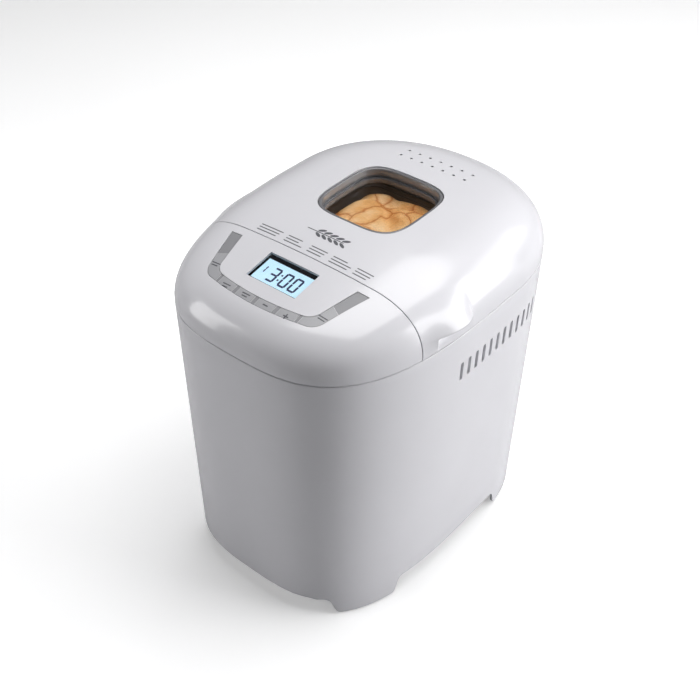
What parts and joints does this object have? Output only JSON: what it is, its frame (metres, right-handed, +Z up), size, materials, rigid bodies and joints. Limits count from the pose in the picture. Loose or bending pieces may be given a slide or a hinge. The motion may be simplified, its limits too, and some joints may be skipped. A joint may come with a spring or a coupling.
{
  "type": "bread machine",
  "caption": "Countertop bread machine: tapered casing, domed control panel, hinged windowed lid, lift-out pan with bail, belt-driven kneading paddle.",
  "frame": {"origin": "on the surface the feet rest on, at the middle of the whole machine's plan box", "axes": "+Z up, -Y the front with the control panel, +X to the right of a person facing the back from the front"},
  "size_m": [0.24, 0.303, 0.2969],
  "materials": {
    "white_gloss": "smooth gloss moulding",
    "white_matte": "fine matte moulding",
    "key_grey": "satin silver-grey",
    "inlay_grey": "satin grey",
    "bezel_grey": "dark grey, fine texture",
    "clear_glass": "clear tempered glass",
    "lens": "clear display lens",
    "lcd": "pale blue backlit display",
    "board": "printed circuit board",
    "aluminium": "pressed sheet",
    "steel": "zinc-plated steel",
    "element": "heat-darkened sheath",
    "nonstick": "dark non-stick coating",
    "dark_coat": "dark grey heat-proof coating",
    "bronze": "sintered bronze",
    "rubber": "soft rubber",
    "silicone": "grey silicone",
    "ceramic": "cream ceramic"
  },
  "bodies": {
    "root": {"casing_front": "white_gloss", "casing_right": "white_gloss", "casing_left": "white_gloss", "casing_rear": "white_gloss", "casing_lugs": "white_gloss", "base_plate": "white_matte", "rubber_feet": "rubber", "base_screws": "steel", "front_cover": "white_gloss", "key_inlay": "inlay_grey", "key_carrier": "white_matte", "display_lens": "lens", "display_module": "lcd", "control_board": "board", "power_board": "board", "motor_capacitor": "aluminium", "cord_gland": "rubber", "top_deck": "white_matte", "oven_chamber": "dark_coat", "heating_element": "element", "element_brackets": "steel", "oven_sensor": "steel", "thermal_fuse": "ceramic", "pan_socket": "steel", "pan_springs": "steel", "drive_chassis": "steel", "bearing_housing": "aluminium", "drive_bush": "bronze", "motor_stator": "steel", "motor_mounts": "rubber", "drive_belt": "rubber", "hinge_brackets": "white_matte", "hinge_pin": "steel"},
    "lid": {"lid_cover": "white_gloss", "lid_hinge": "white_matte", "lid_liner": "dark_coat", "window_bezel": "bezel_grey", "window_glass": "clear_glass", "glass_spacer": "silicone", "inner_glass": "clear_glass", "lid_gasket": "silicone", "lid_screws": "steel"},
    "pan": {"bread_pan": "nonstick", "pan_base": "aluminium", "pan_bush": "bronze"},
    "bail": {"pan_bail": "steel"},
    "pan_shaft": {"paddle_shaft": "steel"},
    "paddle": {"kneading_paddle": "nonstick"},
    "drive": {"drive_shaft": "steel", "driven_pulley": "white_matte", "drive_coupling": "bezel_grey"},
    "motor_rotor": {"motor_shaft": "steel", "motor_pulley": "white_matte"},
    "button_menu": {"key_menu": "key_grey"},
    "button_size": {"key_size": "key_grey"},
    "button_crust": {"key_crust": "key_grey"},
    "button_minus": {"key_minus": "key_grey"},
    "button_plus": {"key_plus": "key_grey"},
    "button_start": {"key_start": "key_grey"}
  },
  "joints": [
    {"name": "lid_hinge", "type": "hinge", "parent": "root", "child": "lid", "pos_m": [0, 0.1475, 0.249], "axis": [-1, 0, 0], "range_deg": [0, 95]},
    {"name": "pan_lift", "type": "slide", "parent": "root", "child": "pan", "axis": [0, 0, 1], "range_m": [0, 0.018]},
    {"name": "bail_hinge", "type": "hinge", "parent": "pan", "child": "bail", "pos_m": [0, 0.015, 0.19], "axis": [0, -1, 0], "range_deg": [0, 158]},
    {"name": "drive_spin", "type": "hinge", "parent": "root", "child": "drive", "pos_m": [0, 0.015, 0.033], "axis": [0, 0, 1], "continuous": true},
    {"name": "motor_spin", "type": "hinge", "parent": "root", "child": "motor_rotor", "pos_m": [0, -0.107, 0.033], "axis": [0, 0, 1], "continuous": true},
    {"name": "paddle_spin", "type": "hinge", "parent": "pan", "child": "pan_shaft", "pos_m": [0, 0.015, 0.09], "axis": [0, 0, 1], "continuous": true},
    {"name": "paddle_lift", "type": "slide", "parent": "pan_shaft", "child": "paddle", "axis": [0, 0, 1], "range_m": [0, 0.04]},
    {"name": "press_menu", "type": "slide", "parent": "root", "child": "button_menu", "axis": [0, 0.1781, -0.984], "range_m": [0, 0.001], "stiffness_N_per_m": 400},
    {"name": "press_size", "type": "slide", "parent": "root", "child": "button_size", "axis": [0, 0.1781, -0.984], "range_m": [0, 0.001], "stiffness_N_per_m": 400},
    {"name": "press_crust", "type": "slide", "parent": "root", "child": "button_crust", "axis": [0, 0.1781, -0.984], "range_m": [0, 0.001], "stiffness_N_per_m": 400},
    {"name": "press_minus", "type": "slide", "parent": "root", "child": "button_minus", "axis": [0, 0.1781, -0.984], "range_m": [0, 0.001], "stiffness_N_per_m": 400},
    {"name": "press_plus", "type": "slide", "parent": "root", "child": "button_plus", "axis": [0, 0.1781, -0.984], "range_m": [0, 0.001], "stiffness_N_per_m": 400},
    {"name": "press_start", "type": "slide", "parent": "root", "child": "button_start", "axis": [0, 0.1781, -0.984], "range_m": [0, 0.001], "stiffness_N_per_m": 400}
  ],
  "couplings": [
    {"joint": "motor_spin", "follows": "drive_spin", "ratio": 5.5},
    {"joint": "paddle_spin", "follows": "drive_spin", "ratio": 1}
  ]
}
